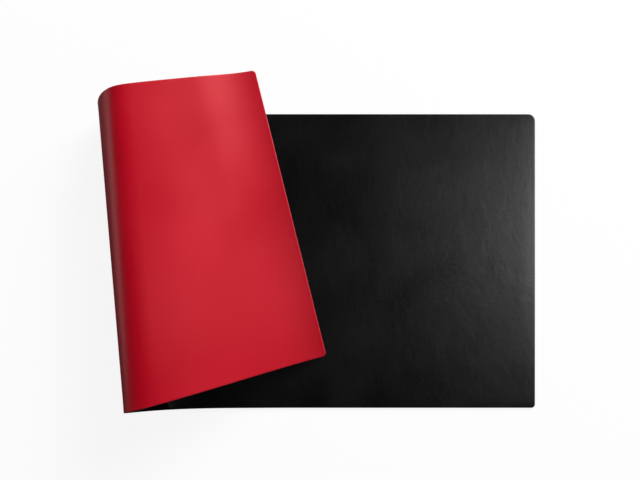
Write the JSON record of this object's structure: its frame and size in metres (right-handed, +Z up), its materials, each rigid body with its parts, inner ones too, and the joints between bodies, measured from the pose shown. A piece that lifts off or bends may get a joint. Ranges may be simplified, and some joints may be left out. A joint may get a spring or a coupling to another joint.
{
  "type": "desk mat",
  "caption": "Thin rectangular double-sided desk mat, black face up, with one end curled over so that the red reverse face shows; the curl unbends until the mat lies flat.",
  "frame": {"origin": "centre of the folded mat's bounding box in plan, at the underside that rests on the desk", "axes": "+Z up out of the black working face, +X along the mat's length from the folded end to the flat end, +Y towards the mat's back long edge"},
  "size_m": [0.628, 0.4928, 0.0884],
  "materials": {
    "black_leather": "black polyurethane leather with a fine matte grain and a soft sheen",
    "adhesive_film": "pale laminating adhesive, seen only at the cut edge",
    "red_leather": "deep red polyurethane leather with a fine grain and a soft sheen"
  },
  "bodies": {
    "base_panel": {"black_sheet_base": "black_leather", "adhesive_film_base": "adhesive_film", "red_sheet_base": "red_leather"},
    "bend_strip_01": {"black_sheet_strip_01": "black_leather", "adhesive_film_strip_01": "adhesive_film", "red_sheet_strip_01": "red_leather"},
    "bend_strip_02": {"black_sheet_strip_02": "black_leather", "adhesive_film_strip_02": "adhesive_film", "red_sheet_strip_02": "red_leather"},
    "bend_strip_03": {"black_sheet_strip_03": "black_leather", "adhesive_film_strip_03": "adhesive_film", "red_sheet_strip_03": "red_leather"},
    "bend_strip_04": {"black_sheet_strip_04": "black_leather", "adhesive_film_strip_04": "adhesive_film", "red_sheet_strip_04": "red_leather"},
    "bend_strip_05": {"black_sheet_strip_05": "black_leather", "adhesive_film_strip_05": "adhesive_film", "red_sheet_strip_05": "red_leather"},
    "bend_strip_06": {"black_sheet_strip_06": "black_leather", "adhesive_film_strip_06": "adhesive_film", "red_sheet_strip_06": "red_leather"},
    "bend_strip_07": {"black_sheet_strip_07": "black_leather", "adhesive_film_strip_07": "adhesive_film", "red_sheet_strip_07": "red_leather"},
    "bend_strip_08": {"black_sheet_strip_08": "black_leather", "adhesive_film_strip_08": "adhesive_film", "red_sheet_strip_08": "red_leather"},
    "bend_strip_09": {"black_sheet_strip_09": "black_leather", "adhesive_film_strip_09": "adhesive_film", "red_sheet_strip_09": "red_leather"},
    "bend_strip_10": {"black_sheet_strip_10": "black_leather", "adhesive_film_strip_10": "adhesive_film", "red_sheet_strip_10": "red_leather"},
    "bend_strip_11": {"black_sheet_strip_11": "black_leather", "adhesive_film_strip_11": "adhesive_film", "red_sheet_strip_11": "red_leather"},
    "bend_strip_12": {"black_sheet_strip_12": "black_leather", "adhesive_film_strip_12": "adhesive_film", "red_sheet_strip_12": "red_leather"},
    "bend_strip_13": {"black_sheet_strip_13": "black_leather", "adhesive_film_strip_13": "adhesive_film", "red_sheet_strip_13": "red_leather"},
    "bend_strip_14": {"black_sheet_strip_14": "black_leather", "adhesive_film_strip_14": "adhesive_film", "red_sheet_strip_14": "red_leather"},
    "bend_strip_15": {"black_sheet_strip_15": "black_leather", "adhesive_film_strip_15": "adhesive_film", "red_sheet_strip_15": "red_leather"},
    "bend_strip_16": {"black_sheet_strip_16": "black_leather", "adhesive_film_strip_16": "adhesive_film", "red_sheet_strip_16": "red_leather"},
    "bend_strip_17": {"black_sheet_strip_17": "black_leather", "adhesive_film_strip_17": "adhesive_film", "red_sheet_strip_17": "red_leather"},
    "flap_panel": {"black_sheet_flap": "black_leather", "adhesive_film_flap": "adhesive_film", "red_sheet_flap": "red_leather"}
  },
  "joints": [
    {"name": "unbend_01", "type": "hinge", "parent": "base_panel", "child": "bend_strip_01", "pos_m": [-0.17439, -0.03134, 0.002], "axis": [0.505, -0.8631, 0], "range_deg": [0, 1.52]},
    {"name": "unbend_02", "type": "hinge", "parent": "bend_strip_01", "child": "bend_strip_02", "pos_m": [-0.22142, -0.03133, 0.00308], "axis": [0.3542, -0.9352, 0.0044], "range_deg": [0, 4.53]},
    {"name": "unbend_03", "type": "hinge", "parent": "bend_strip_02", "child": "bend_strip_03", "pos_m": [-0.24332, -0.03128, 0.00521], "axis": [0.2729, -0.962, 0.0135], "range_deg": [0, 7.39]},
    {"name": "unbend_04", "type": "hinge", "parent": "bend_strip_03", "child": "bend_strip_04", "pos_m": [-0.25757, -0.03114, 0.00841], "axis": [0.2175, -0.9757, 0.027], "range_deg": [0, 10.04]},
    {"name": "unbend_05", "type": "hinge", "parent": "bend_strip_04", "child": "bend_strip_05", "pos_m": [-0.26779, -0.03086, 0.01262], "axis": [0.1778, -0.9831, 0.0444], "range_deg": [0, 12.37]},
    {"name": "unbend_06", "type": "hinge", "parent": "bend_strip_05", "child": "bend_strip_06", "pos_m": [-0.27521, -0.03039, 0.01772], "axis": [0.1502, -0.9866, 0.0642], "range_deg": [0, 14.33]},
    {"name": "unbend_07", "type": "hinge", "parent": "bend_strip_06", "child": "bend_strip_07", "pos_m": [-0.28038, -0.0297, 0.02358], "axis": [0.1335, -0.9875, 0.084], "range_deg": [0, 15.86]},
    {"name": "unbend_08", "type": "hinge", "parent": "bend_strip_07", "child": "bend_strip_08", "pos_m": [-0.28363, -0.0287, 0.03031], "axis": [0.1265, -0.987, 0.0991], "range_deg": [0, 16.9]},
    {"name": "unbend_09", "type": "hinge", "parent": "bend_strip_08", "child": "bend_strip_09", "pos_m": [-0.28492, -0.02721, 0.03854], "axis": [0.1259, -0.9867, 0.103], "range_deg": [0, 17.43]},
    {"name": "unbend_10", "type": "hinge", "parent": "bend_strip_09", "child": "bend_strip_10", "pos_m": [-0.28333, -0.0249, 0.04904], "axis": [0.1238, -0.9882, 0.0899], "range_deg": [0, 17.43]},
    {"name": "unbend_11", "type": "hinge", "parent": "bend_strip_10", "child": "bend_strip_11", "pos_m": [-0.27766, -0.02173, 0.0605], "axis": [0.1118, -0.9915, 0.0661], "range_deg": [0, 16.9]},
    {"name": "unbend_12", "type": "hinge", "parent": "bend_strip_11", "child": "bend_strip_12", "pos_m": [-0.26938, -0.01857, 0.06918], "axis": [0.0958, -0.9942, 0.0495], "range_deg": [0, 15.86]},
    {"name": "unbend_13", "type": "hinge", "parent": "bend_strip_12", "child": "bend_strip_13", "pos_m": [-0.2614, -0.01607, 0.07383], "axis": [0.0889, -0.995, 0.0455], "range_deg": [0, 14.33]},
    {"name": "unbend_14", "type": "hinge", "parent": "bend_strip_13", "child": "bend_strip_14", "pos_m": [-0.2542, -0.01406, 0.07583], "axis": [0.0927, -0.9946, 0.0466], "range_deg": [0, 12.37]},
    {"name": "unbend_15", "type": "hinge", "parent": "bend_strip_14", "child": "bend_strip_15", "pos_m": [-0.24677, -0.01212, 0.07621], "axis": [0.1026, -0.9936, 0.0472], "range_deg": [0, 10.04]},
    {"name": "unbend_16", "type": "hinge", "parent": "bend_strip_15", "child": "bend_strip_16", "pos_m": [-0.23792, -0.00988, 0.07507], "axis": [0.1155, -0.9923, 0.0456], "range_deg": [0, 7.39]},
    {"name": "unbend_17", "type": "hinge", "parent": "bend_strip_16", "child": "bend_strip_17", "pos_m": [-0.22552, -0.00677, 0.07178], "axis": [0.1324, -0.9903, 0.0413], "range_deg": [0, 4.53]},
    {"name": "unbend_18", "type": "hinge", "parent": "bend_strip_17", "child": "flap_panel", "pos_m": [-0.20028, -0.00046, 0.06286], "axis": [0.164, -0.986, 0.0305], "range_deg": [0, 1.52]}
  ]
}
